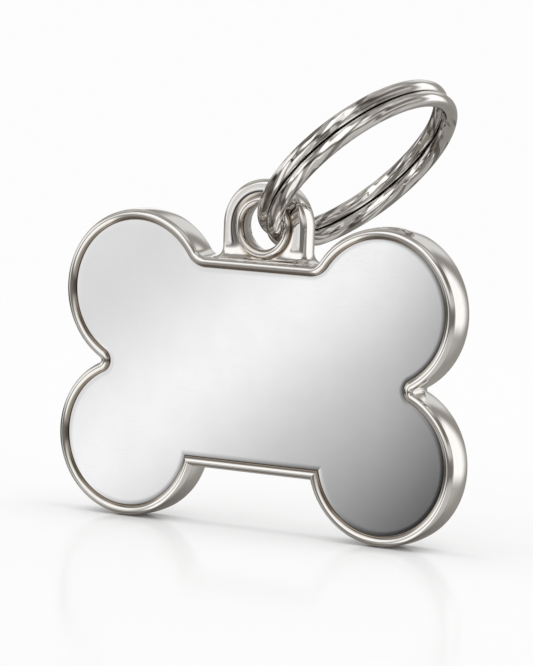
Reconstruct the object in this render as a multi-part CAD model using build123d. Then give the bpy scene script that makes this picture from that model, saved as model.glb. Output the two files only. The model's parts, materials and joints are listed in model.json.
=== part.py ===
from build123d import *
import math
import os

# A bone-shaped pet tag, stood on its two lower lobes, with its split ring leaning to the right.
# Millimetres. X runs along the bone, Z is up and the polished face looks along -Y.
# The origin is on the floor, midway between the lobes and under the middle of the split ring.

# Bone outline, at the outer wall of the frame
lower_lobe_radius = 7.15
lower_lobe_spread = 25.7
upper_lobe_radius = 7.32
upper_lobe_spread = 24.54
lobe_pitch = 13.09
bottom_edge_height = 5.08
top_edge_dip = 3.72
notch_round = 0.15
top_corner_round = 1.2

# Cast frame: side wall, and a rounded rim between two narrow shoulders on its front edge
wall_depth = 2.78
rim_width = 0.92
rim_height = 0.4
rim_shoulder = 0.04
back_edge_round = 0.25

# Engraving plate and the film that bonds it into the frame
plate_thickness = 0.8
plate_gap = 0.05
plate_edge_round = 0.12
film_thickness = 0.1
film_margin = 0.4

# Hanging lug on the middle of the top edge
lug_radius = 4.22
lug_setback = 0.75
lug_edge_round = 0.4
lug_foot_round = 0.9
lug_cove = 0.6
hole_rise = 2.91

# Eyelet pressed into the lug
bore_radius = 2.3
eyelet_wall = 0.3
eyelet_lip_width = 0.66
eyelet_fit = 0.02

# Split ring: one wire wound twice, with a short crossing between its two flat turns
ring_diameter = 20.0
wire_diameter = 1.2
turn_gap = 0.42
crossing_angle = 22.0
crossing_middle_angle = 10.0

# How the ring lies in the eyelet: its rise above level, its twist about that line, how far its
# middle is behind the plate's face, and its hanging point below and beside the hole's centre
ring_rise_angle = 45.75
ring_twist_angle = 4.0
ring_setback = 5.7
hang_depth = 0.88
hang_offset = 0.77

# How far a cut runs past the faces that it opens
cut_overrun = 1.0

# How many points along the wire the gap between its turns is measured on
gap_points = 720

upper_lobe_height = lower_lobe_radius + lobe_pitch
top_edge_height = upper_lobe_height + upper_lobe_radius - top_edge_dip
hole_height = top_edge_height + hole_rise
eyelet_lip_radius = bore_radius + eyelet_lip_width
pocket_depth = plate_thickness + film_thickness
turn_pitch = wire_diameter + turn_gap
ring_radius = (ring_diameter - wire_diameter) / 2


def depth_plane(depth):
    """The upright plane that lies this far behind the plate's face, looking to the front."""
    return Plane.XZ.offset(ring_setback - depth)


def bearing(start, end):
    """The direction from one point to another, in degrees from +X."""
    return math.degrees(math.atan2(end[1] - start[1], end[0] - start[0]))


def arc_between(centre, radius, start_angle, end_angle, turn):
    """An arc about a centre that turns left (1) or right (-1) from one bearing to the next."""
    sweep_angle = turn * ((turn * (end_angle - start_angle)) % 360)
    return CenterArc(centre, radius, start_angle, sweep_angle)


def top_corner():
    """The middle of the round that joins the top edge to the upper lobe, in any inset outline."""
    reach = upper_lobe_radius + top_corner_round
    height = top_edge_height + top_corner_round
    aside = math.sqrt(reach**2 - (height - upper_lobe_height) ** 2)
    return upper_lobe_spread / 2 - aside, height


def bone(inset):
    """The bone's outline drawn in by inset: straight edges, lobes and the rounds between them."""
    bottom = bottom_edge_height + inset
    top = top_edge_height - inset
    lower = (lower_lobe_spread / 2, lower_lobe_radius)
    upper = (upper_lobe_spread / 2, upper_lobe_height)
    lower_radius = lower_lobe_radius - inset
    upper_radius = upper_lobe_radius - inset
    notch_radius = notch_round + inset
    corner_radius = top_corner_round + inset

    # The lower lobe meets the bottom edge in a sharp corner.
    drop = lower[1] - bottom
    foot = (lower[0] - math.sqrt(lower_radius**2 - drop**2), bottom)

    # The notch's round touches both lobes from outside.
    reach_low = lower_radius + notch_radius
    reach_up = upper_radius + notch_radius
    apart = math.dist(lower, upper)
    swing = math.acos((reach_low**2 + apart**2 - reach_up**2) / (2 * reach_low * apart))
    heading = math.radians(bearing(lower, upper)) - swing
    notch = (lower[0] + reach_low * math.cos(heading), lower[1] + reach_low * math.sin(heading))

    corner = top_corner()

    half = Curve() + [
        Line((0, bottom), foot),
        arc_between(lower, lower_radius, bearing(lower, foot), bearing(lower, notch), 1),
        arc_between(notch, notch_radius, bearing(notch, lower), bearing(notch, upper), -1),
        arc_between(upper, upper_radius, bearing(upper, notch), bearing(upper, corner), 1),
        arc_between(corner, corner_radius, bearing(corner, upper), -90, -1),
        Line((corner[0], top), (0, top)),
    ]
    return make_face(half + mirror(half, Plane.YZ))


def rim():
    """The rounded rim: a low arc carried round the bone's edge, mitred at the sharp corners."""
    path = depth_plane(0) * bone(rim_width / 2).face().outer_wire()
    along = path % 0
    half = rim_width / 2 - rim_shoulder
    section = make_face([
        ThreePointArc((-half, 0), (0, rim_height), (half, 0)),
        Line((half, 0), (-half, 0)),
    ])
    section_plane = Plane(origin=path @ 0, x_dir=along.cross(Vector(0, 1, 0)), z_dir=along)
    return sweep(section_plane * section, path, transition=Transition.RIGHT)


def lug():
    """The hanging lug: an arch whose foot flares no wider than the top edge, its front rounded."""
    base = top_edge_height - rim_width
    foot_round = min(lug_foot_round, top_corner()[0] - lug_radius)
    flare = lug_radius + foot_round
    hip = top_edge_height + foot_round
    half = Curve() + [
        Line((0, base), (flare, base)),
        Line((flare, base), (flare, top_edge_height)),
        arc_between((flare, hip), foot_round, -90, 180, -1),
        Line((lug_radius, hip), (lug_radius, hole_height)),
        arc_between((0, hole_height), lug_radius, 0, 90, 1),
    ]
    outline = make_face(half + mirror(half, Plane.YZ))
    arch = extrude(depth_plane(wall_depth) * outline, wall_depth - lug_setback)
    front = arch.faces().sort_by(Axis.Y)[0]
    return fillet(front.edges(), lug_edge_round)


def cove():
    """The hollow round that runs from the lug's front down to the top edge of the frame."""
    front = lug_setback - ring_setback
    shelf = top_edge_height + lug_cove
    section = make_face([
        Line((front, top_edge_height), (front, shelf)),
        arc_between((front - lug_cove, shelf), lug_cove, 0, -90, -1),
        Line((front - lug_cove, top_edge_height), (front, top_edge_height)),
    ])
    return extrude(Plane.YZ * section, lug_radius - lug_edge_round, both=True)


def eyelet_seat():
    """The eyelet's seat: a round hole through the lug, and room for the lip before its front."""
    centre = Pos(0, hole_height)
    hole = centre * Circle(bore_radius + eyelet_wall + eyelet_fit)
    lip_room = centre * Circle(eyelet_lip_radius + eyelet_fit)
    through = extrude(depth_plane(wall_depth + cut_overrun) * hole, wall_depth + cut_overrun)
    return through + extrude(depth_plane(lug_setback) * lip_room, lug_setback)


def tag_frame():
    """The cast frame: the bone-shaped body with its lug, pocket and rim."""
    body = extrude(depth_plane(wall_depth) * bone(0), wall_depth)
    pocket = extrude(depth_plane(pocket_depth) * bone(rim_width), pocket_depth + rim_height)
    casting = body + lug()
    back = casting.faces().sort_by(Axis.Y)[-1]
    casting = fillet(back.edges(), back_edge_round)
    return casting + cove() - pocket + rim() - eyelet_seat()


def bonding_film():
    """The thin film that bonds the plate to the floor of the pocket."""
    film = depth_plane(pocket_depth) * bone(rim_width + film_margin)
    return extrude(film, film_thickness)


def face_plate():
    """The polished engraving plate, its front edge just broken."""
    blank = depth_plane(plate_thickness) * bone(rim_width + plate_gap)
    plate = extrude(blank, plate_thickness)
    front = plate.faces().sort_by(Axis.Y)[0]
    return fillet(front.edges(), plate_edge_round)


def eyelet_bush():
    """The eyelet: a short tube with a half-round lip on the lug's front face."""
    back = wall_depth - ring_setback
    land = lug_setback - ring_setback
    outside = bore_radius + eyelet_wall
    lip_middle = (bore_radius + eyelet_lip_radius) / 2
    lip_crest = land - (eyelet_lip_radius - bore_radius) / 2
    section = make_face([
        Line((bore_radius, back), (outside, back)),
        Line((outside, back), (outside, land)),
        Line((outside, land), (eyelet_lip_radius, land)),
        ThreePointArc((eyelet_lip_radius, land), (lip_middle, lip_crest), (bore_radius, land)),
        Line((bore_radius, land), (bore_radius, back)),
    ])
    level = Plane.XY.offset(hole_height)
    return revolve(level * section, Axis((0, 0, hole_height), (0, 1, 0)))


def ring_plane():
    """The ring's own plane: X points at its hanging point, Z along its axis."""
    rise = math.radians(ring_rise_angle)
    inward = Vector(-math.cos(rise), 0, -math.sin(rise))
    beside = Vector(math.sin(rise), 0, -math.cos(rise))
    axis = beside.rotate(Axis((0, 0, 0), inward), ring_twist_angle)
    hang_point = Vector(0, 0, hole_height) + inward * hang_depth + beside * hang_offset
    return Plane(origin=hang_point - inward * ring_radius, x_dir=inward, z_dir=axis)


def turn_point(angle, height):
    """A point of the wire's centre line and its direction, at an angle round the ring."""
    a = math.radians(angle)
    point = Vector(ring_radius * math.cos(a), ring_radius * math.sin(a), height)
    return point, Vector(-math.sin(a), math.cos(a), 0)


def flat_turn(start_angle, end_angle, height):
    """A turn of the wire that stays at one height, as two equal arcs."""
    middle_angle = (start_angle + end_angle) / 2
    arcs = []
    for begin, finish in ((start_angle, middle_angle), (middle_angle, end_angle)):
        start, way = turn_point(begin, height)
        arcs.append(TangentArc(start, turn_point(finish, height)[0], tangent=way))
    return arcs


def crossing(start_angle, end_angle, low, high):
    """The wire's step from one turn to the next: two arcs that join smoothly at its middle."""
    start, start_way = turn_point(start_angle, low)
    end, end_way = turn_point(end_angle, high)
    chord = end - start
    along = chord.dot(start_way + end_way)
    spread = 2 * (1 - start_way.dot(end_way))
    reach = (math.sqrt(along**2 + spread * chord.dot(chord)) - along) / spread
    middle = (start + start_way * reach + end - end_way * reach) / 2
    first = TangentArc(start, middle, tangent=start_way)
    return [first, TangentArc(middle, end, tangent=first % 1)]


def wire_path():
    """The wire's centre line: straight tip, flat turn, crossing, flat turn, straight tip."""
    low = -turn_pitch / 2
    high = turn_pitch / 2
    tip_angle = math.degrees(wire_diameter / ring_radius)
    leave = crossing_middle_angle + crossing_angle / 2
    arrive = leave + 360 - crossing_angle
    first, first_way = turn_point(leave + tip_angle, low)
    last, last_way = turn_point(arrive + 360 - tip_angle, high)
    return Wire([
        Line(first - first_way * wire_diameter, first),
        *flat_turn(leave + tip_angle, arrive, low),
        *crossing(arrive, leave + 360, low, high),
        *flat_turn(leave + 360, arrive + 360 - tip_angle, high),
        Line(last, last + last_way * wire_diameter),
    ])


def least_gap(path):
    """The least clear gap between stretches of the wire that lie a half turn or more apart."""
    points = [tuple(path @ (i / gap_points)) for i in range(gap_points + 1)]
    half_turn = round(gap_points * math.pi * ring_radius / path.length)
    pairs = ((p, q) for i, p in enumerate(points) for q in points[i + half_turn:])
    return min(math.dist(p, q) for p, q in pairs) - wire_diameter


def split_ring():
    """The split ring: one round wire swept along its path and laid in the eyelet."""
    path = wire_path()
    print(f"split ring: least gap between turns {least_gap(path):.3f} mm")
    section = Plane(origin=path @ 0, z_dir=path % 0) * Circle(wire_diameter / 2)
    return ring_plane() * sweep(section, path)


pieces = (tag_frame, bonding_film, face_plate, eyelet_bush, split_ring)

os.makedirs("parts", exist_ok=True)
for piece in pieces:
    solid = piece()
    solid.label = piece.__name__
    export_step(solid, f"parts/{piece.__name__}.step")
    print(f"{piece.__name__}: {solid.volume:.2f} cubic mm")
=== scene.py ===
# %% [markdown]
# # A bone-shaped pet tag on its split ring
# The tag is a cast and plated frame with a polished plate bonded into its face. A lug on its top
# edge holds an eyelet, and a split ring of wound wire hangs in it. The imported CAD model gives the
# places, the sizes and the bodies that move. This lesson dresses it: each piece is worked out again
# as a fine smooth surface, because polished metal shows every facet, and then it gets its finish,
# a studio to reflect and a camera.

# %% Load the frame
import json

import bmesh
import bpy
import numpy as np
from mathutils import Matrix, Vector

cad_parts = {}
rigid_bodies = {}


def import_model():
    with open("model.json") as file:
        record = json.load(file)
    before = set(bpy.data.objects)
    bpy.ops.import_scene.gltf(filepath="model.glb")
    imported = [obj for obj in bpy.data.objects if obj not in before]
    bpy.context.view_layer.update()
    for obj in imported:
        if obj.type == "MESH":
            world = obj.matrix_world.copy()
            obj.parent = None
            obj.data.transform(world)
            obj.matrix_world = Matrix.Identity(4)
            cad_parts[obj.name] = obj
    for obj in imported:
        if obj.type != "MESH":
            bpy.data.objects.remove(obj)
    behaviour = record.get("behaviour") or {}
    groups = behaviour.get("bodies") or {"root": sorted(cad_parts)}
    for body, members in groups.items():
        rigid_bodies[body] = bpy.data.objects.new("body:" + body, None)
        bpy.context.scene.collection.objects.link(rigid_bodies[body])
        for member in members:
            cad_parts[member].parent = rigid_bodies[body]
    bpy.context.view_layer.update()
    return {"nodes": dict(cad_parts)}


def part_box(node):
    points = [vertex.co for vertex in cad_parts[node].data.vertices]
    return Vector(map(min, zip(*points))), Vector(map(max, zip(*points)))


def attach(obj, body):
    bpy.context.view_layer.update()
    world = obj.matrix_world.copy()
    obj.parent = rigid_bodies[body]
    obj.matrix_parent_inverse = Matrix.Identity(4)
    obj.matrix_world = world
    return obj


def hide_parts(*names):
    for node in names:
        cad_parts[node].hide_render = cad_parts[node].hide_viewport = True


scene = bpy.context.scene
for leftover in list(scene.objects):
    bpy.data.objects.remove(leftover)
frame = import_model()
metres_per_mm = 0.001
print("CAD nodes:", ", ".join(sorted(frame["nodes"])))

# %% [markdown]
# ## The camera
# The photograph looks at the tag from its right and a little from above, through a long lens, so
# both lobes keep nearly the same size. A camera could be aimed by eye, or made to track an empty.
# Here its turn, rise, roll and distance were solved from the outline of the bone, so its three axes
# are built from those angles, and it is then aimed a little beside the middle of the face, which
# frames the picture without any lens shift.

# %% Camera
plate_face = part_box("face_plate")[0].y / metres_per_mm
bone_middle = 14.26
view_turn, view_rise, view_roll = np.radians([30.04, 6.84, -1.94])
view_distance = 327.2
lens_length = 202.3
aim_right_share = 0.00337
aim_up_share = 0.00982


def unit(vector):
    """The vector divided by its own length."""
    return vector / np.linalg.norm(vector)


level = np.array([np.cos(view_turn), np.sin(view_turn), 0])
facing = np.array([np.sin(view_turn), -np.cos(view_turn), 0])
towards = np.cos(view_rise) * facing + np.sin(view_rise) * np.array([0, 0, 1])
upright = np.cross(towards, level)
right = np.cos(view_roll) * level - np.sin(view_roll) * upright
up = np.sin(view_roll) * level + np.cos(view_roll) * upright
back = unit(towards - aim_right_share * right - aim_up_share * up)
right = unit(np.cross(up, back))
up = np.cross(back, right)
eye = np.array([0, plate_face, bone_middle]) + view_distance * towards

camera = bpy.data.objects.new("camera", bpy.data.cameras.new("camera"))
camera.data.lens = lens_length
camera.data.clip_start = 0.01
axes = Matrix(np.stack([right, up, back], 1)).to_4x4()
camera.matrix_world = Matrix.Translation(eye * metres_per_mm) @ axes
scene.collection.objects.link(camera)
scene.camera = camera
print("camera at", np.round(eye, 1), "mm")

# %% [markdown]
# ## From a grid of points to a mesh
# A surface here is a function of two parameters, and numpy works it out as one array of rows and
# columns of points. A spin or a curve with a bevel would also do, but a grid gives exact control of
# where each crease runs. Columns always close on themselves. Rows either meet, as on a tyre, or end
# in two flat caps, as on a plate.

# %% Mesh helper
def add_piece(name, grid, rows_meet=False, sharp_rows=(), sharp_columns=()):
    """A mesh with one quad for each cell of the grid (rows, columns, 3), given in millimetres."""
    rows, columns = grid.shape[:2]
    index = np.arange(rows * columns).reshape(rows, columns)
    caps = [] if rows_meet else [index[0, ::-1].tolist(), index[-1].tolist()]
    if rows_meet:
        index = np.vstack([index, index[:1]])
    beside = np.roll(index, -1, axis=1)
    quads = np.stack([index[:-1], beside[:-1], beside[1:], index[1:]], -1).reshape(-1, 4)
    mesh = bpy.data.meshes.new(name)
    mesh.from_pydata(grid.reshape(-1, 3) * metres_per_mm, [], quads.tolist() + caps)

    solid = bmesh.new()
    solid.from_mesh(mesh)
    volume = solid.calc_volume(signed=True) / metres_per_mm**3
    solid.free()
    if volume < 0:
        mesh.flip_normals()

    ends = np.empty(2 * len(mesh.edges), int)
    mesh.edges.foreach_get("vertices", ends)
    row, column = np.divmod(ends.reshape(-1, 2), columns)
    on_row = (row[:, 0] == row[:, 1]) & np.isin(row[:, 0], sharp_rows)
    on_column = (column[:, 0] == column[:, 1]) & np.isin(column[:, 0], sharp_columns)
    mesh.edges.foreach_set("use_edge_sharp", on_row | on_column)
    mesh.polygons.foreach_set("use_smooth", np.ones(len(mesh.polygons), bool))
    piece = bpy.data.objects.new(name, mesh)
    scene.collection.objects.link(piece)
    print(f"{name}: {len(mesh.polygons)} faces, {abs(volume):.1f} cubic mm")
    return piece


def dress(piece, body, node):
    """The piece rides on its body and stands in for a CAD node, which it hides."""
    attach(piece, body)
    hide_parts(node)


# %% [markdown]
# ## The bone's outline
# The outline is four lobes joined by two straight edges: the lobes meet the bottom edge in sharp
# corners, and small rounds join them to the top edge and to each other. It could be traced as points,
# but lines and arcs draw it exactly and can be drawn again at any inset, which gives the rim, the
# plate and the back edge from one function.

# %% Outline of the bone
lower_radius, lower_aside = 7.15, 12.85
upper_radius, upper_aside = 7.32, 12.27
lower_height, upper_height = 7.15, 20.24
bottom_edge, top_edge = 5.08, 23.84
notch_round, corner_round = 0.15, 1.2
steps = {"edge": 30, "lower lobe": 170, "notch": 24, "upper lobe": 150, "corner": 24}
turn = 2 * np.pi


def bearing(start, end):
    """The direction from one set of points to another, in radians."""
    return np.arctan2(end[..., 1] - start[..., 1], end[..., 0] - start[..., 0])


def arc(centre, radius, start, sweep, count):
    """centre + radius (cos a, sin a), where a steps evenly from start to short of start + sweep."""
    a = start[:, None] + sweep[:, None] * np.arange(count) / count
    return centre[:, None] + radius[:, None, None] * np.stack([np.cos(a), np.sin(a)], -1)


def line(start, end, count):
    """start + t (end - start), where t steps evenly from 0 to just short of 1."""
    return start[:, None] + (end - start)[:, None] * (np.arange(count) / count)[:, None]


def bone(inset):
    """The closed outline at each inset, (insets, columns, 2): its right half, then that mirrored."""
    inset = np.asarray(inset, float)
    still = np.zeros_like(inset)

    def pair(x, z):
        return np.stack([x + still, z + still], -1)

    bottom, top = bottom_edge + inset, top_edge - inset
    lower, upper = pair(lower_aside, lower_height), pair(upper_aside, upper_height)
    foot_reach = np.sqrt((lower_radius - inset) ** 2 - (lower_height - bottom) ** 2)
    foot = pair(lower_aside - foot_reach, bottom)

    # The notch's round touches both lobes, so its middle closes a triangle with theirs.
    low_reach, up_reach = lower_radius + notch_round, upper_radius + notch_round
    apart = np.hypot(lower_aside - upper_aside, upper_height - lower_height)
    swing = np.arccos((low_reach**2 + apart**2 - up_reach**2) / (2 * low_reach * apart))
    heading = bearing(lower, upper) - swing
    notch = lower + low_reach * np.stack([np.cos(heading), np.sin(heading)], -1)

    # The corner's round touches the upper lobe and the top edge.
    corner_height = top_edge + corner_round
    lift = corner_height - upper_height
    corner_reach = np.sqrt((upper_radius + corner_round) ** 2 - lift**2)
    corner = pair(upper_aside - corner_reach, corner_height)

    start = bearing(lower, foot)
    sweep = (bearing(lower, notch) - start) % turn
    low_lobe = arc(lower, lower_radius - inset, start, sweep, steps["lower lobe"])
    start = bearing(notch, lower)
    sweep = -((start - bearing(notch, upper)) % turn)
    low_notch = arc(notch, notch_round + inset, start, sweep, steps["notch"])
    start = bearing(upper, notch)
    sweep = (bearing(upper, corner) - start) % turn
    up_lobe = arc(upper, upper_radius - inset, start, sweep, steps["upper lobe"])
    start = bearing(corner, upper)
    sweep = -((start + turn / 4) % turn)
    up_corner = arc(corner, corner_round + inset, start, sweep, steps["corner"])
    half = np.concatenate([
        line(pair(0, bottom), foot, steps["edge"]),
        low_lobe, low_notch, up_lobe, up_corner,
        line(pair(corner[:, 0], top), pair(0, top), steps["edge"]),
    ], 1)
    mirrored = half[:, :0:-1] * [-1, 1]
    return np.concatenate([half, pair(0, top)[:, None], mirrored], 1)


def carry(inset, depth):
    """The profile (inset, depth) carried round the bone: one row for each of its points."""
    outline = bone(inset)
    behind = np.broadcast_to((plate_face + np.asarray(depth))[:, None], outline.shape[:2])
    return np.stack([outline[..., 0], behind, outline[..., 1]], -1)


def keep_inset(piece, inset):
    """Stores how far inside the outline each point lies, for the finish to read."""
    stored = piece.data.attributes.new("inset", "FLOAT", "POINT")
    stored.data.foreach_set("value", np.repeat(inset, columns))


columns = bone([0]).shape[1]
mitres = [steps["edge"], columns - steps["edge"]]
print(f"bone outline: {columns} columns, sharp corners at columns {mitres}")

# %% [markdown]
# ## The cast frame
# The frame is a shallow tray with a rounded rim on its front edge, a side wall that buffing has
# crowned a little and a softly broken back edge. It could be an extruded curve with a bevel, but the
# rim has to keep its section through the mitred lower corners. So the whole section, from the floor
# of the pocket over the rim and down the wall to the back, is one profile carried round the outline.
# Every row keeps its inset, from which the finish knows where the foot of the rim is.

# %% Cast frame
rim_width, rim_height, rim_crest, rim_fall = 0.92, 0.4, 0.46, 0.58
wall_depth, back_round, pocket_depth = 2.78, 0.25, 0.9
wall_crown = 0.06
flat_margin = 0.3
rim_steps, round_steps, wall_steps = 25, 9, 16

inner_side = np.linspace(turn / 4, 0, rim_steps)
outer_side = np.linspace(0, turn / 4, rim_steps)[1:]
round_angle = np.linspace(0, turn / 4, round_steps)
wall = np.linspace(rim_fall - rim_height, wall_depth - back_round, wall_steps)[1:-1]
wall_share = np.linspace(-1, 1, wall_steps)[1:-1]
profile = np.concatenate([
    [[rim_width + flat_margin, pocket_depth], [rim_width, pocket_depth]],
    np.stack([rim_crest + (rim_width - rim_crest) * np.sin(inner_side),
              -rim_height * np.cos(inner_side)], 1),
    np.stack([rim_crest + (wall_crown - rim_crest) * np.sin(outer_side),
              rim_fall * (1 - np.cos(outer_side)) - rim_height], 1),
    np.stack([wall_crown * wall_share**2, wall], 1),
    np.stack([wall_crown + back_round * (1 - np.cos(round_angle)),
              wall_depth - back_round + back_round * np.sin(round_angle)], 1),
    [[wall_crown + back_round + flat_margin, wall_depth]],
])
cast_frame = add_piece("cast_frame", carry(*profile.T), sharp_rows=[1], sharp_columns=mitres)
keep_inset(cast_frame, profile[:, 0])
dress(cast_frame, "tag", "tag_frame")

# %% [markdown]
# ## The hanging lug
# The lug is cast with the frame: an arch with a rounded front edge, a land that is dished a little
# round the seat of the eyelet, a crowned wall, and a hollow fillet that runs round its foot into the
# top edge. Modelled by hand it would be an extruded arch with bevels, and the fillet would be the hard
# part. Here its section runs round the seat, from the land over the edge and the wall to the back, and
# every point near the top edge then slides outwards along a quarter of an ellipse, which is what a
# rolled fillet does.

# %% Hanging lug
hole_height = top_edge + 2.91
lug_radius, lug_setback, lug_edge, lug_crown = 4.22, 0.75, 0.5, 0.04
seat_radius, seat_dish, dish_power = 2.62, 0.16, 4
front_fillet, front_rise, front_ease, side_fillet = 0.75, 1.5, 0.5, 0.9
foot_depth = 0.9
land_steps, edge_steps, lug_wall_steps, lug_columns, home_stride = 40, 17, 11, 480, 6
least_share = 1e-6


def lug_reach(angle, inset, foot):
    """From the seat's middle to the arch: a circle above, and straight sides and a foot below."""
    arch = lug_radius - inset
    side = arch / np.maximum(np.abs(np.cos(angle)), least_share)
    base = (foot - inset) / np.maximum(np.abs(np.sin(angle)), least_share)
    return np.where(np.sin(angle) >= 0, arch, np.minimum(side, base))


def lug_section():
    """The lug's section as rows of (span share, inset, depth, forward share, sideways share, foot)."""
    across = np.linspace(0, 1, land_steps)
    edge = np.linspace(0, turn / 4, edge_steps)[1:]
    down = np.linspace(-1, 1, lug_wall_steps)[1:]
    heel = round_angle[1:]
    homeward = across[-2::-home_stride]
    middle = (lug_setback + lug_edge + wall_depth - back_round) / 2
    deep = hole_height - top_edge + foot_depth
    flush = hole_height - top_edge + 2 * back_round
    parts = [
        (across, lug_edge, lug_setback + seat_dish * (1 - across) ** dish_power, 1, 0, deep),
        (1, lug_crown + (lug_edge - lug_crown) * (1 - np.sin(edge)),
         lug_setback + lug_edge * (1 - np.cos(edge)), np.cos(edge), np.sin(edge), deep),
        (1, lug_crown * down**2, middle + (wall_depth - back_round - middle) * down, 0, 1, deep),
        (1, lug_crown + back_round * (1 - np.cos(heel)),
         wall_depth - back_round * (1 - np.sin(heel)), 0, 1, deep + (flush - deep) * np.sin(heel)),
        (homeward, lug_crown + back_round, wall_depth, 0, homeward, flush),
    ]
    rows = np.concatenate([np.stack(np.broadcast_arrays(*part), 1) for part in parts])
    return rows.T[:, :, None]


span, inset, depth, forward, sideways, foot = lug_section()
angle = np.linspace(0, turn, lug_columns, endpoint=False)[None] - turn / 4
radius = seat_radius + (lug_reach(angle, inset, foot) - seat_radius) * span
x, z = radius * np.cos(angle), hole_height + radius * np.sin(angle)
fillet = front_fillet + (side_fillet - front_fillet) * sideways
fillet_rise = front_rise + (side_fillet - front_rise) * sideways
near = np.clip(1 - (z - top_edge) / fillet_rise, 0, 1) ** (1 + front_ease * forward)
slide = fillet * (1 - np.sqrt(1 - near**2))
y = plate_face + depth - slide * forward
x = x + slide * sideways * np.clip(x / lug_radius, -1, 1)
hanging_lug = add_piece("hanging_lug", np.stack([x, y, z], -1), rows_meet=True)
dress(hanging_lug, "tag", "tag_frame")

# %% [markdown]
# ## The polished plate
# The plate that takes the engraving lies in the pocket, level with the foot of the rim. Lapping a
# plate always rolls its edge off a little, and that is what makes the mirror fade near the rim. A
# bevel would give the broken edge but not the roll, so both are in the profile: a shallow parabola,
# and then a small round.

# %% Polished plate
plate_gap, plate_thickness, plate_edge = 0.01, 0.8, 0.05
roll_width, roll_drop, roll_steps = 0.45, 0.006, 16

plate_inset = rim_width + plate_gap
roll = np.linspace(0, 1, roll_steps)
tilt = np.arctan(2 * roll_drop / roll_width)
edge_angle = np.linspace(tilt, turn / 4, round_steps)[1:]
profile = np.concatenate([
    [[plate_inset + plate_edge + roll_width + flat_margin, 0]],
    np.stack([plate_inset + plate_edge + roll_width * (1 - roll), roll_drop * roll**2], 1),
    np.stack([plate_inset + plate_edge * (1 - np.sin(edge_angle)),
              roll_drop + plate_edge * (1 - np.cos(edge_angle))], 1),
    [[plate_inset, plate_thickness], [plate_inset + flat_margin, plate_thickness]],
])
polished_plate = add_piece("polished_plate", carry(*profile.T),
                           sharp_rows=[len(profile) - 2], sharp_columns=mitres)
keep_inset(polished_plate, profile[:, 0])
dress(polished_plate, "tag", "face_plate")

# %% [markdown]
# ## The eyelet
# The eyelet is a short tube pressed through the lug, with its front end rolled over into a round lip
# that saves the ring from wearing the casting. The roll also bulges a little into the hole. A torus
# and a tube would make it too, but would meet in a loose seam. It is a turned part, so its section is
# drawn once as radius and depth, and carried round the axis of the hole.

# %% Eyelet
bore_radius, tube_wall = 2.3, 0.3
lip_middle, lip_round, lip_depth = 2.38, 0.38, 0.8
lip_steps, spin_steps = 49, 160

seat_depth = lug_setback + seat_dish
lip_end = np.arccos((lip_middle - bore_radius) / lip_round)
lip_start = -np.arcsin((seat_depth - lip_depth) / lip_round)
around_lip = np.linspace(lip_start, np.pi + lip_end, lip_steps)
section = np.concatenate([
    np.stack([lip_middle + lip_round * np.cos(around_lip),
              lip_depth - lip_round * np.sin(around_lip)], 1),
    [[bore_radius, wall_depth - tube_wall / 2], [bore_radius + tube_wall / 2, wall_depth],
     [bore_radius + tube_wall, wall_depth - tube_wall / 2], [bore_radius + tube_wall, seat_depth]],
])
spin = np.linspace(0, turn, spin_steps, endpoint=False)
radius, depth = section.T[:, :, None]
x, z = radius * np.cos(spin), hole_height + radius * np.sin(spin)
eyelet = add_piece("eyelet", np.stack([x, plate_face + depth + 0 * x, z], -1), rows_meet=True,
                   sharp_rows=[0, len(section) - 1, len(section) - 2, len(section) - 4])
dress(eyelet, "tag", "eyelet_bush")

# %% [markdown]
# ## The split ring
# A split ring is one springy wire wound twice, pressed flat so that its turns touch, with a short
# crossing where it steps from one turn to the other beside its two cut ends. A curve with a bevel
# could make it, but its twist is hard to steer. Here the wire's middle line is a circle whose height
# makes one smooth step, and the round section stands square to that line at every point. For the
# finish, each point also keeps how far it faces the other turn and the ground, and where it sits
# round the wire and along it.

# %% Split ring
ring_diameter, wire_diameter, turn_spacing = 20.0, 1.34, 1.37
cad_ring_radius, hang_depth, hang_offset = 9.4, 0.88, 0.77
ring_rise, ring_twist = np.radians([45.75, 4.0])
crossing_start, crossing_end = np.radians([-1.0, 21.0])
tip_round = 0.25
wire_twist = 0.35
wire_rows, wire_columns = 900, 48

inward = np.array([-np.cos(ring_rise), 0, -np.sin(ring_rise)])
beside = np.array([np.sin(ring_rise), 0, -np.cos(ring_rise)])
axis = beside * np.cos(ring_twist) + np.cross(inward, beside) * np.sin(ring_twist)
across = np.cross(axis, inward)
hang_point = np.array([0, 0, hole_height]) + inward * hang_depth + beside * hang_offset
ring_middle = hang_point - inward * cad_ring_radius
winding_radius = (ring_diameter - wire_diameter) / 2

angle = np.linspace(crossing_end, crossing_start + 2 * turn, wire_rows)[:, None]
step = np.clip((angle - crossing_start - turn) / (crossing_end - crossing_start), 0, 1)
height = turn_spacing * (step**2 * (3 - 2 * step) - 0.5)
climb = turn_spacing * 6 * step * (1 - step) / (crossing_end - crossing_start)
outward = np.cos(angle) * inward + np.sin(angle) * across
onward = winding_radius * (np.cos(angle) * across - np.sin(angle) * inward) + climb * axis
sideways = np.cross(onward / np.linalg.norm(onward, axis=1, keepdims=True), outward)
from_end = winding_radius * np.minimum(angle - angle[0], angle[-1] - angle)
rounding = np.clip(1 - from_end / tip_round, 0, 1)
wire_radius = wire_diameter / 2 - tip_round * (1 - np.sqrt(1 - rounding**2))
round_wire = np.linspace(0, turn, wire_columns, endpoint=False)[None, :, None]
middle_line = ring_middle + winding_radius * outward + height * axis
normal = np.cos(round_wire) * outward[:, None] + np.sin(round_wire) * sideways[:, None]
grid = middle_line[:, None] + wire_radius[:, None] * normal
ring_wire = add_piece("ring_wire", grid)

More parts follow.
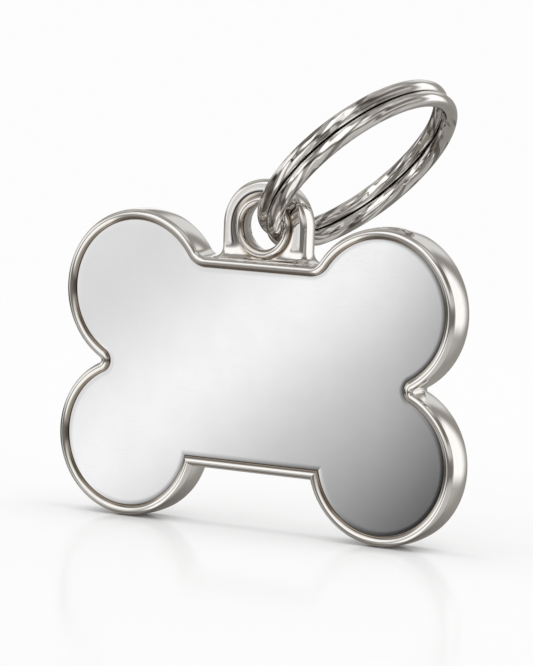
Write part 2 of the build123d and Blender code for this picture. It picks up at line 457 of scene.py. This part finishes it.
along = np.broadcast_to((winding_radius * angle)[:, None], grid.shape[:2] + (1,))
around = np.broadcast_to(round_wire, grid.shape[:2] + (1,))
towards_turn = np.sin(around) * 2 * height[:, None] / turn_spacing
for name, values in (("crevice", towards_turn), ("underside", -normal[..., 2])):
    stored = ring_wire.data.attributes.new(name, "FLOAT", "POINT")
    stored.data.foreach_set("value", values.ravel())
twisted = around + wire_twist * along
drawn = np.concatenate([np.cos(twisted), np.sin(twisted), along], -1)
stored = ring_wire.data.attributes.new("drawn", "FLOAT_VECTOR", "POINT")
stored.data.foreach_set("vector", drawn.ravel())
dress(ring_wire, "ring", "split_ring")

# %% [markdown]
# ## Shader maths as Python
# A finish is a small calculation at every point of a surface. Wiring it by hand in the shader editor
# is clear for five nodes and a tangle for fifty. So one class wraps an output socket, and plain + - *
# and / on it add the Math nodes. Every other node comes from one method.

# %% Field class
class Field:
    """One output socket: operators on it add Math nodes, and node() adds any other node."""

    def __init__(self, tree, socket=None):
        self.tree, self.socket = tree, socket

    def node(self, kind, settings=(), sockets=(), output=0):
        """A new node: first its settings, then the values or the links of its sockets."""
        made = self.tree.nodes.new("ShaderNode" + kind)
        for name, value in dict(settings).items():
            if name == "stops":
                made.color_ramp.elements.remove(made.color_ramp.elements[1])
                for place, grey in value:
                    made.color_ramp.elements.new(place).color = (grey, grey, grey, 1)
                made.color_ramp.elements.remove(made.color_ramp.elements[0])
            elif name == "blend":
                made.color_ramp.interpolation = value
            else:
                setattr(made, name, value)
        for name, value in dict(sockets).items():
            self.feed(made, name, value)
        return Field(self.tree, made.outputs[output])

    def feed(self, node, name, value):
        """Links a field to a socket, or sets a plain value on it."""
        if isinstance(value, Field):
            self.tree.links.new(value.socket, node.inputs[name])
        else:
            node.inputs[name].default_value = value

    def math(self, operation, *values):
        """A Math node that works on fields and plain numbers."""
        return self.node("Math", {"operation": operation}, enumerate(values))

    def __add__(self, other):
        return self.math("ADD", self, other)

    def __sub__(self, other):
        return self.math("SUBTRACT", self, other)

    def __rsub__(self, other):
        return self.math("SUBTRACT", other, self)

    def __mul__(self, other):
        return self.math("MULTIPLY", self, other)

    def __truediv__(self, other):
        return self.math("DIVIDE", self, other)

    __radd__, __rmul__ = __add__, __mul__

    def between(self, low, high):
        """A smooth step from 0 at low to 1 at high."""
        limits = {"Value": self, "From Min": low, "From Max": high}
        return self.node("MapRange", {"interpolation_type": "SMOOTHSTEP"}, limits)

    def mix(self, low, high):
        """The colour low where this field is 0, and the colour high where it is 1."""
        return self.node("Mix", {"data_type": "RGBA"}, {0: self, 6: low, 7: high}, 2)

    def dot(self, direction):
        """The share of this vector that runs along a direction."""
        parts = {0: self, 1: tuple(direction)}
        return self.node("VectorMath", {"operation": "DOT_PRODUCT"}, parts, "Value")

    def scaled(self, factors):
        """This vector with each of its parts multiplied."""
        return self.node("VectorMath", {"operation": "MULTIPLY"}, {0: self, 1: tuple(factors)})

    def noise(self, rate, detail):
        """Soft noise from 0 to 1 with patches about 1 / rate across, and finer ones with detail."""
        return self.node("TexNoise", (), {"Vector": self, "Scale": rate, "Detail": detail})

    def bump(self, height):
        """The normal of a surface raised by this field, of which 1 is the height in metres."""
        return self.node("Bump", (), {"Height": self, "Distance": height, "Strength": 1.0})


def colour(red, green, blue):
    """An opaque colour."""
    return (red, green, blue, 1.0)


def finish(name, make, **constants):
    """A finish: constants go on the shader's sockets, and make() gives what varies over it."""
    material = bpy.data.materials.new(name)
    material.use_nodes = True
    start = Field(material.node_tree)
    shader = material.node_tree.nodes["Principled BSDF"]
    millimetres = start.node("TexCoord", (), (), "Object").scaled([1 / metres_per_mm] * 3)
    for socket, value in {**constants, **make(millimetres)}.items():
        start.feed(shader, socket.replace("_", " "), value)
    print(f"{name}: {len(material.node_tree.nodes)} nodes")
    return material


# %% [markdown]
# ## Plated casting
# The frame and its lug are a zinc casting, buffed and then plated with nickel, which is a warm grey.
# Buffing leaves a surface that is never quite flat: long shallow waves that bend what it mirrors,
# patches that are a little hazier, and fine lines from the wheel. The corners between rim and plate
# and round the eyelet's lip are painted darker, as painted shade, and the wall is painted darker low
# down near the ground, as painted shade too. A photograph could be laid on, but noise has no seams and
# needs no file: three sizes of it give the waves, the haze and the lines. The stored inset and the
# distance from the eyelet give the painted shade in the corners, and the height gives the painted
# shade low on the wall.

# %% Plated casting
nickel, worn_nickel = colour(0.87, 0.85, 0.825), colour(0.84, 0.82, 0.79)
# Two painted shade colours: one for the corners, one for the wall low down.
painted_shade_nickel, painted_ground_shade = colour(0.42, 0.36, 0.30), colour(0.16, 0.145, 0.13)
corner_front, corner_back, corner_width = 0.35, 0.6, 0.42
foot_width, foot_edge = 0.3, 0.02
ground_shade_low, ground_shade_high = 0.2, 4.5
wall_inset, rim_inset = 0.08, 0.3
wave_rate, haze_rate, wheel_rate = 0.16, 2.2, 4
wheel_stretch, wheel_share = (0.5, 9, 9), 0.004
haze_range, wheel_range = (0.3, 0.75), (0.55, 0.8)
buffed_rough, haze_rough, wheel_rough, foot_rough = 0.025, 0.04, 0.03, 0.03
wave_height = 0.00004


def from_eyelet(place):
    """Distance from the axis of the eyelet, in millimetres."""
    ends = {0: place, 1: (0, 0, hole_height)}
    flat = place.node("VectorMath", {"operation": "SUBTRACT"}, ends).scaled((1, 0, 1))
    return place.node("VectorMath", {"operation": "LENGTH"}, {0: flat}, "Value")


def casting_finish(place):
    waves = place.noise(wave_rate, 1)
    haze = place.noise(haze_rate, 4)
    wheel = place.scaled(wheel_stretch).noise(wheel_rate, 3)
    inset = place.node("Attribute", {"attribute_name": "inset"}, (), "Fac")
    # Painted shade: the foot of the rim and the hollow round the eyelet's lip are darkened in colour.
    behind = place.dot((0, 1, 0)).between(plate_face + corner_front, plate_face + corner_back)
    lip_edge = lip_middle + lip_round
    corner = (1 - from_eyelet(place).between(lip_edge, lip_edge + corner_width)) * behind
    rim_foot = inset.between(rim_width - foot_width, rim_width - foot_edge)
    foot = place.math("MAXIMUM", rim_foot, corner)
    on_wall = 1 - inset.between(wall_inset, rim_inset)
    # Painted shade near the ground: the wall is darkened low down.
    low = (1 - place.dot((0, 0, 1)).between(ground_shade_low, ground_shade_high)) * on_wall
    tone = low.mix(haze.between(*haze_range).mix(nickel, worn_nickel), painted_ground_shade)
    return {
        "Base_Color": foot.mix(tone, painted_shade_nickel),
        "Roughness": (buffed_rough + haze_rough * haze + wheel_rough * wheel.between(*wheel_range)
                      + foot_rough * foot),
        "Normal": (waves + wheel_share * wheel).bump(wave_height),
    }


plated_casting = finish("plated_casting", casting_finish, Metallic=1.0)
for piece in (cast_frame, hanging_lug):
    piece.data.materials.append(plated_casting)

# %% [markdown]
# ## Polished plate
# The plate is bright rolled steel, lapped flat, and so it mirrors one small patch of the studio almost
# cleanly. What gives it away as metal is a faint haze with hairlines in the rolling direction, which is
# noise stretched along the bone. Its edge is painted darker as shade near the rim, like the foot of
# the rim.

# %% Polished plate finish
bright_steel, hazed_steel = colour(0.945, 0.945, 0.95), colour(0.925, 0.925, 0.93)
edge_shade_width, hairline_height = 0.14, 0.0000002
cloud_rate, cloud_range = 0.35, (0.3, 0.7)
hairline_stretch, hairline_rate = (0.4, 1, 14), 2.5
dull_hairlines, deep_hairlines = (0.6, 0.8), (0.5, 0.9)
lapped_rough, cloud_rough, hairline_rough = 0.05, 0.012, 0.02


def plate_finish(place):
    cloud = place.noise(cloud_rate, 3)
    hairline = place.scaled(hairline_stretch).noise(hairline_rate, 4)
    inset = place.node("Attribute", {"attribute_name": "inset"}, (), "Fac")
    # Painted shade: the plate's colour darkens towards its edge by the rim.
    edge = 1 - inset.between(plate_inset, plate_inset + edge_shade_width)
    tone = cloud.between(*cloud_range).mix(bright_steel, hazed_steel)
    return {
        "Base_Color": edge.mix(tone, painted_shade_nickel),
        "Roughness": (lapped_rough + cloud_rough * cloud
                      + hairline_rough * hairline.between(*dull_hairlines)),
        "Normal": hairline.between(*deep_hairlines).bump(hairline_height),
    }


polished_steel = finish("polished_plate", plate_finish, Metallic=1.0)
polished_plate.data.materials.append(polished_steel)

# %% [markdown]
# ## Eyelet
# The eyelet is turned and rolled, so its tool marks are rings round its own axis. They depend on the
# distance from that axis alone, and a sine of that distance draws them. The crease under the lip and
# the inside of the hole are painted darker as shade, and deep in the hole noise patches let some of
# the plain nickel through.

# %% Eyelet finish
crease_start, inside_width, patch_depth = 0.18, 0.25, 0.2
mark_rate, mark_wander, mark_height = 90, 3, 0.0000004
wander_rate, bush_haze_rate = 0.8, 2.0
patch_rate, patch_range = 1.1, (0.42, 0.56)
turned_rough, bush_haze_rough, mark_rough = 0.06, 0.05, 0.015


def eyelet_finish(place):
    reach = from_eyelet(place)
    marks = place.math("SINE", reach * mark_rate + mark_wander * place.noise(wander_rate, 1))
    haze = place.noise(bush_haze_rate, 3)
    # Painted shade in the crease under the lip and inside the hole, lightened in noise patches deep in
    # the hole.
    crease = reach.between(lip_middle + crease_start, lip_middle + lip_round)
    inside = 1 - reach.between(bore_radius - inside_width, lip_middle)
    patches = place.noise(patch_rate, 1).between(*patch_range)
    lip_back = plate_face + lip_depth
    deep = place.dot((0, 1, 0)).between(lip_back, lip_back + patch_depth)
    dark = place.math("MAXIMUM", crease, inside * (1 - deep * patches))
    return {
        "Base_Color": dark.mix(nickel, painted_shade_nickel),
        "Roughness": turned_rough + bush_haze_rough * haze + mark_rough * marks,
        "Normal": marks.bump(mark_height),
    }


plated_eyelet = finish("plated_eyelet", eyelet_finish, Metallic=1.0)
eyelet.data.materials.append(plated_eyelet)

# %% [markdown]
# ## Ring wire
# The ring is wound from drawn wire. The drawing die leaves fine lines along it, and winding leaves
# shallow ripples that twist slowly round it. Dark streaks that twist with them are painted
# reflections, and what hangs in the far end has rubbed that part smooth, with neither ripples nor
# streaks. The underside is painted a little darker as shade, and the crevice between the turns is
# painted near black as shade. A plain noise in space would cut across the wire. So the material reads
# where a point sits round the wire and along it, which was stored on the mesh when the wire was made.

# %% Ring wire finish
bright_nickel, painted_dark_wire = colour(0.97, 0.955, 0.935), colour(0.17, 0.15, 0.13)
crevice_shade_black = colour(0.05, 0.045, 0.04)
streak_share, underside_share, ripple_height = 0.8, 0.2, 0.00017
line_rates, ripple_rates, streak_rates = (10, 10, 0.5), (1.3, 1.3, 0.4), (1.6, 1.6, 0.28)
line_range, streak_range, rubbed_range = (0.5, 0.8), (0.535, 0.575), (-0.95, -0.7)
crevice_shade_range, crevice_range, underside_range = (0.87, 0.98), (0.4, 0.85), (0.0, 0.6)
wire_haze_rate, wire_haze_range = 1.4, (0.3, 0.7)
wire_rough, wire_haze_rough, line_rough, crevice_shade_rough = 0.02, 0.02, 0.02, 0.2


def wire_finish(place):
    drawn = place.node("Attribute", {"attribute_name": "drawn"}, (), "Vector")
    lines = drawn.scaled(line_rates).noise(1.0, 4)
    wound = place.math("COSINE", drawn.dot((0, 0, 1)) / winding_radius).between(*rubbed_range)
    ripple = drawn.scaled(ripple_rates).noise(1.0, 0)
    # Painted reflections: dark streaks twisting round the wire stand in for the streaks it would
    # mirror.
    streak = drawn.scaled(streak_rates).noise(1.0, 0).between(*streak_range) * wound
    haze = place.noise(wire_haze_rate, 3)
    crevice = place.node("Attribute", {"attribute_name": "crevice"}, (), "Fac")
    underside = place.node("Attribute", {"attribute_name": "underside"}, (), "Fac")
    # Painted shade: the crevice between the turns is painted near black.
    crevice_shade = crevice.between(*crevice_shade_range)
    # Painted shade: the underside of the wire is darkened.
    shade = underside_share * underside.between(*underside_range)
    painted_dark_share = place.math("MAXIMUM", streak_share * streak, shade)
    clear = 1 - crevice.between(*crevice_range)
    clean = haze.between(*wire_haze_range).mix(bright_nickel, nickel)
    return {
        "Base_Color": crevice_shade.mix(painted_dark_share.mix(clean, painted_dark_wire), crevice_shade_black),
        "Roughness": (wire_rough + wire_haze_rough * haze + line_rough * lines.between(*line_range)
                      + crevice_shade_rough * crevice_shade),
        "Normal": ((ripple - 0.5) * clear * wound).bump(ripple_height),
    }


drawn_wire = finish("ring_wire", wire_finish, Metallic=1.0)
ring_wire.data.materials.append(drawn_wire)

# %% [markdown]
# ## Bonding film
# A dark acrylic film holds the plate in its pocket. It is hidden in the finished tag and still gets a
# finish of its own: a soft sheen with tiny trapped bubbles, in case the plate is lifted out. The CAD
# solid is thin and flat already, so it is dressed as it is, and cells of a Voronoi noise are the
# bubbles.

# %% Bonding film finish
film_dark, film_black = colour(0.10, 0.10, 0.11), colour(0.035, 0.035, 0.04)
bubble_rate, bubble_range, bubble_height = 1.6, (0.05, 0.2), 0.00002
film_rough, film_cloud_rate, film_cloud_rough = 0.45, 0.8, 0.25


def film_finish(place):
    cells = place.node("TexVoronoi", (), {"Vector": place, "Scale": bubble_rate})
    bubbles = cells.between(*bubble_range)
    cloud = place.noise(film_cloud_rate, 3)
    return {
        "Base_Color": (bubbles * cloud).mix(film_dark, film_black),
        "Roughness": film_rough + film_cloud_rough * cloud,
        "Normal": bubbles.bump(bubble_height),
    }


bonding_film = finish("bonding_film", film_finish)
film_mesh = frame["nodes"]["bonding_film"].data
film_mesh.materials.clear()
film_mesh.materials.append(bonding_film)

# %% [markdown]
# ## The studio
# Polished metal has almost no colour of its own: what it shows is the room. So the world is painted as
# a studio that only reflections see: a warm grey room, panels of light, dark flags, and the pale floor.
# Real panels could stand round the tag, but they would also light the floor and get in the camera's
# way. Here each panel is a soft-edged patch of the sky, given by its azimuth, from the front towards
# the right, its elevation, its half width and half height, and its soft edge, all in degrees.

# %% Studio walls
studio = bpy.data.worlds.new("studio")
studio.use_nodes = True
scene.world = studio
scene.view_settings.view_transform = "Standard"
world = Field(studio.node_tree)
direction = world.node("TexCoord", (), (), "Generated")
degree = 180 / np.pi
azimuth = world.math("ARCTAN2", direction.dot((1, 0, 0)), direction.dot((0, -1, 0))) * degree
elevation = world.math("ARCSINE", direction.dot((0, 0, 1))) * degree


def patch(middle_azimuth, middle_elevation, half_width, half_height, soft):
    """1 inside a patch of the sky and 0 outside it, with a soft edge."""
    aside = world.math("ABSOLUTE", world.math("WRAP", azimuth - middle_azimuth, 180.0, -180.0))
    above = world.math("ABSOLUTE", elevation - middle_elevation)
    half_soft = soft / 2
    wide = 1 - aside.between(half_width - half_soft, half_width + half_soft)
    return wide * (1 - above.between(half_height - half_soft, half_height + half_soft))


panels = [
    ("ceiling", (0, 85, 180, 22, 24), colour(0.38, 0.365, 0.345)),
    ("right floor", (80, -45, 75, 30, 30), colour(0.57, 0.56, 0.545)),
    ("left floor", (-105, -30, 32, 16, 20), colour(0.49, 0.475, 0.455)),
    ("low drape", (-70, -56, 30, 12, 16), colour(0.17, 0.15, 0.13)),
    ("pale floor", (-2, -47, 25, 33, 12), colour(1.12, 1.12, 1.11)),
    ("left wall", (-81, 14, 25, 11, 10), colour(0.80, 0.79, 0.775)),
    ("left flag", (-90, -7, 40, 7, 8), colour(0.10, 0.09, 0.08)),
    ("key light", (-8, 38, 38, 30, 14), colour(1.15, 1.15, 1.15)),
    ("right ceiling", (105, 66, 45, 12, 16), colour(0.65, 0.64, 0.63)),
    ("key spill", (42, 24, 20, 18, 14), colour(0.85, 0.84, 0.83)),
    ("brown drape", (86, 40, 36, 14, 16), colour(0.19, 0.165, 0.14)),
    ("right strip", (90, 14, 34, 7, 8), colour(0.58, 0.57, 0.56)),
    ("right wall", (46, -6, 66, 8, 10), colour(0.18, 0.17, 0.16)),
    ("right backdrop", (146, 10, 12, 24, 12), colour(1.15, 1.15, 1.15)),
    ("rear light", (-172, 32, 14, 12, 12), colour(0.75, 0.75, 0.75)),
    ("rear flag", (-129, -12, 25, 13, 10), colour(0.10, 0.09, 0.08)),
    ("rear backdrop", (-152, 7, 9, 8, 8), colour(1.0, 1.0, 1.0)),
    ("left strip", (-49, 7, 10, 12, 6), colour(1.2, 1.18, 1.16)),
    ("left ceiling", (-112, 44, 42, 12, 10), colour(0.52, 0.50, 0.475)),
]
view = colour(0.32, 0.305, 0.285)
for name, place, light in panels:
    view = patch(*place).mix(view, light)
print(len(panels), "panels in the studio")

# %% [markdown]
# ## The light card for the plate
# The flat plate mirrors only a few degrees of the room, so its long soft gradient has to lie inside
# them: a card that is brightest in a slanting band and falls off to both sides. It stands where the
# camera's line of sight goes after the mirror, which only turns the sign of the depth. From near the
# edge of the plate's own part of it outwards, the card is dimmed on the right and above, which darkens
# the inner side of the rim.

# %% Light card
band_point = np.array([-1.5, plate_face, 16.3])
mirror = np.array([1, -1, 1])
card = unit(band_point - eye) * mirror
card_slope, card_reach = 0.79, 5.0
card_radius, card_end = 8.5, 11.0
dim_left, dim_middle, dim_right = 1.7, 3.6, 7.0
dim_above, dim_end = -3.5, -6.0
near_dimming, far_dimming, top_dimming = 0.36, 0.6, 0.55
ahead_range = (0.5, 0.6)
fall = unit(np.sqrt(1 - card_slope**2) * right - card_slope * up) * mirror
rise = np.cross(fall, card)
ahead = direction.dot(card)
across_card = direction.dot(fall) / ahead * degree
along_card = direction.dot(rise) / ahead * degree
bands = [(0.0, 0.80), (0.24, 0.76), (0.32, 0.73), (0.41, 0.89), (0.50, 1.0), (0.59, 0.79),
         (0.65, 0.61), (0.71, 0.50), (0.83, 0.24), (0.90, 0.12), (1.0, 0.05)]
card_share = across_card / (2 * card_reach) + 0.5
shade = world.node("ValToRGB", {"blend": "CARDINAL", "stops": bands}, {0: card_share})
off_card = world.math("SQRT", across_card * across_card + along_card * along_card)
beside_card = direction.dot(level * mirror) / ahead * degree
dimmed = 1 - near_dimming * beside_card.between(dim_left, dim_middle)
dimmed = dimmed * (1 - far_dimming * beside_card.between(dim_middle, dim_right))
dimmed = dimmed * (1 - top_dimming + top_dimming * along_card.between(dim_end, dim_above))
on_card = (1 - off_card.between(card_radius, card_end)) * ahead.between(*ahead_range)
view = on_card.mix(view, dimmed.mix(colour(0, 0, 0), shade))
print("light card towards", np.round(card, 2))

# %% [markdown]
# ## What each ray sees
# The photograph stands on plain white. A white wall would do, but then the metal would mirror it as
# well. Blender knows what kind of ray asks, so the camera gets white, also through anything clear, a
# glossy ray gets the studio, and everything matt gets an even light.

# %% World output
white, even_light = colour(0.98, 0.98, 0.98), colour(0.72, 0.72, 0.72)
rays = world.node("LightPath").socket.node.outputs
camera_ray, clear_ray, glossy_ray = (
    Field(studio.node_tree, rays[name])
    for name in ("Is Camera Ray", "Is Transmission Ray", "Is Glossy Ray"))
sky = (camera_ray + clear_ray).mix(glossy_ray.mix(even_light, view), white)
world.feed(studio.node_tree.nodes["Background"], "Color", sky)
print("world:", len(studio.node_tree.nodes), "nodes")

# %% [markdown]
# ## The floor
# The tag stands on a pale sheet. It takes the soft shadow and a faint gloss, and fades into the white
# behind it, so that no horizon shows. A shadow catcher would be quicker but could not be glossy. The
# camera sees the sheet a little paler than it is lit, except close to the feet, where the shadow has
# to stay dark. The metal doesn't mirror it: the studio's own pale floor stands in for it there, without
# a hard line.

# %% Floor
floor_reach, fade_start, fade_end = 400.0, 70, 240
sheet_white, sheet_grain = colour(0.93, 0.93, 0.93), colour(0.925, 0.925, 0.925)
gloss_share, gloss_roughness, grain_rate = 0.24, 0.14, 1.5
pale_share, pale_start, pale_end = 0.38, 0.5, 6.5
corners = floor_reach * metres_per_mm * np.array([[-1, -1, 0], [1, -1, 0], [1, 1, 0], [-1, 1, 0]])
sheet = bpy.data.meshes.new("floor")
sheet.from_pydata(corners, [], [[0, 1, 2, 3]])
floor = bpy.data.objects.new("floor", sheet)
scene.collection.objects.link(floor)
floor.visible_glossy = False

floor_finish = bpy.data.materials.new("floor")
floor_finish.use_nodes = True
ground = Field(floor_finish.node_tree)
spot = ground.node("TexCoord", (), (), "Object").scaled([1 / metres_per_mm] * 3)
from_tag = ground.node("VectorMath", {"operation": "LENGTH"}, {0: spot}, "Value")
far = from_tag.between(fade_start, fade_end)
grain = spot.noise(grain_rate, 4)
matt = ground.node("BsdfDiffuse", (), {"Color": grain.mix(sheet_white, sheet_grain)})
gloss = ground.node("BsdfGlossy", (), {"Roughness": gloss_roughness})
sheet_surface = ground.node("MixShader", (), {0: gloss_share, 1: matt, 2: gloss})
aside = ground.math("ABSOLUTE", ground.math("ABSOLUTE", spot.dot((1, 0, 0))) - lower_aside)
from_middle = ground.math("ABSOLUTE", spot.dot((0, 1, 0)) - plate_face - wall_depth / 2)
beyond = ground.math("MAXIMUM", from_middle - wall_depth / 2, 0.0)
from_foot = ground.math("SQRT", aside * aside + beyond * beyond)
by_camera = ground.node("LightPath", (), (), "Is Camera Ray")
paler = pale_share * from_foot.between(pale_start, pale_end) * by_camera
glow = ground.node("Emission", (), {"Color": white})
backlit = ground.node("MixShader", (), {0: paler, 1: sheet_surface, 2: glow})
faded = ground.node("MixShader", (), {0: far, 1: backlit, 2: ground.node("BsdfTransparent")})
ground.feed(floor_finish.node_tree.nodes["Material Output"], "Surface", faded)
sheet.materials.append(floor_finish)
print("floor", 2 * floor_reach, "mm across")

# %% [markdown]
# ## The lamps
# Two soft lamps hang high on the left and on the right, in the plane of the tag, so its soft shadow
# runs along its foot. One lamp overhead would leave no shadow beside the lobes. They light matt
# surfaces only: the metal already mirrors the studio's panels.

# %% Lamps
lamp_strength, lamp_angle, lamp_lean = 0.72, np.radians(36), 0.42
for name, lean in (("left lamp", -lamp_lean), ("right lamp", lamp_lean)):
    lamp = bpy.data.objects.new(name, bpy.data.lights.new(name, "SUN"))
    lamp.data.energy = lamp_strength
    lamp.data.angle = lamp_angle
    lamp.rotation_euler = Vector((lean, 0, 1)).to_track_quat("Z", "Y").to_euler()
    lamp.visible_glossy = False
    scene.collection.objects.link(lamp)
    print(f"{name}: strength {lamp_strength}")
